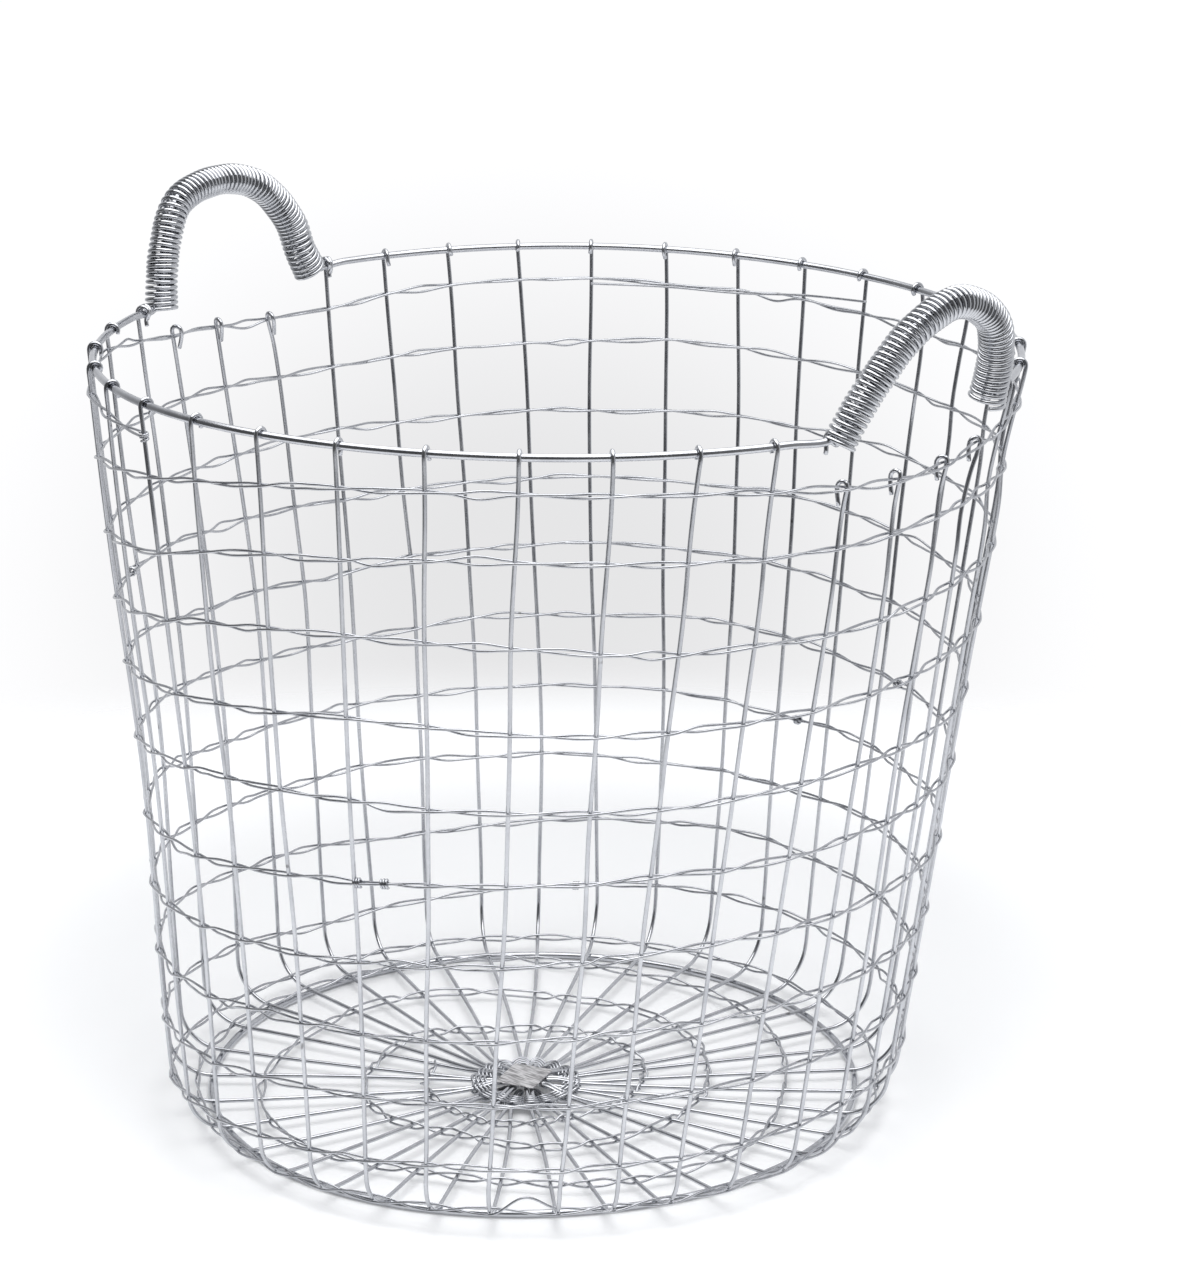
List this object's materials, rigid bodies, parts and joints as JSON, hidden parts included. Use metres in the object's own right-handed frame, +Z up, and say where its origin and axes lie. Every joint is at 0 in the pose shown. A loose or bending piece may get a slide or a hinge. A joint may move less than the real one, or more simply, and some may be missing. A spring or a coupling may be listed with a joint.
{
  "type": "shopping basket",
  "caption": "Tall round woven wire basket, tapering to a flat woven base on a foot ring, with two fixed bow handles sleeved in coiled wire.",
  "frame": {"origin": "on the floor, under the middle of the rim", "axes": "+Z up; +X from the middle of the basket towards the handle that spans four short ribs; +Y a quarter turn round from it, seen from above"},
  "size_m": [0.4963, 0.4904, 0.4911],
  "materials": {
    "bright_wire": "bright zinc-plated steel wire",
    "weave_wire": "bright zinc-plated thin steel wire",
    "coil_wire": "bright drawn wire, close wound",
    "tag_metal": "brushed plate, blank"
  },
  "bodies": {
    "root": {"base_row_1_a": "weave_wire", "base_row_1_b": "weave_wire", "base_row_2_a": "weave_wire", "base_row_2_b": "weave_wire", "base_row_3_a": "weave_wire", "base_row_3_b": "weave_wire", "corner_row_a": "weave_wire", "corner_row_b": "weave_wire", "foot_ring": "bright_wire", "handle_coil_left": "coil_wire", "handle_coil_right": "coil_wire", "hub_row_1_a": "weave_wire", "hub_row_1_b": "weave_wire", "hub_row_2_a": "weave_wire", "hub_row_2_b": "weave_wire", "hub_row_3_a": "weave_wire", "hub_row_3_b": "weave_wire", "hub_tag": "tag_metal", "rib_pair_01": "bright_wire", "rib_pair_02": "bright_wire", "rib_pair_03": "bright_wire", "rib_pair_04": "bright_wire", "rib_pair_05": "bright_wire", "rib_pair_06": "bright_wire", "rib_pair_07": "bright_wire", "rib_pair_08": "bright_wire", "rib_pair_09": "bright_wire", "rib_pair_10": "bright_wire", "rib_pair_11": "bright_wire", "rib_pair_12": "bright_wire", "rib_pair_13": "bright_wire", "rib_pair_14": "bright_wire", "rib_pair_15": "bright_wire", "rib_pair_16": "bright_wire", "rib_pair_17": "bright_wire", "rib_pair_18": "bright_wire", "rim_wire": "bright_wire", "wall_row_01_a": "weave_wire", "wall_row_01_b": "weave_wire", "wall_row_02_a": "weave_wire", "wall_row_02_b": "weave_wire", "wall_row_03_a": "weave_wire", "wall_row_03_b": "weave_wire", "wall_row_04_a": "weave_wire", "wall_row_04_b": "weave_wire", "wall_row_05_a": "weave_wire", "wall_row_05_b": "weave_wire", "wall_row_06_a": "weave_wire", "wall_row_06_b": "weave_wire", "wall_row_07_a": "weave_wire", "wall_row_07_b": "weave_wire", "wall_row_08_a": "weave_wire", "wall_row_08_b": "weave_wire", "wall_row_09_a": "weave_wire", "wall_row_09_b": "weave_wire", "wall_row_10_a": "weave_wire", "wall_row_10_b": "weave_wire"}
  },
  "joints": []
}
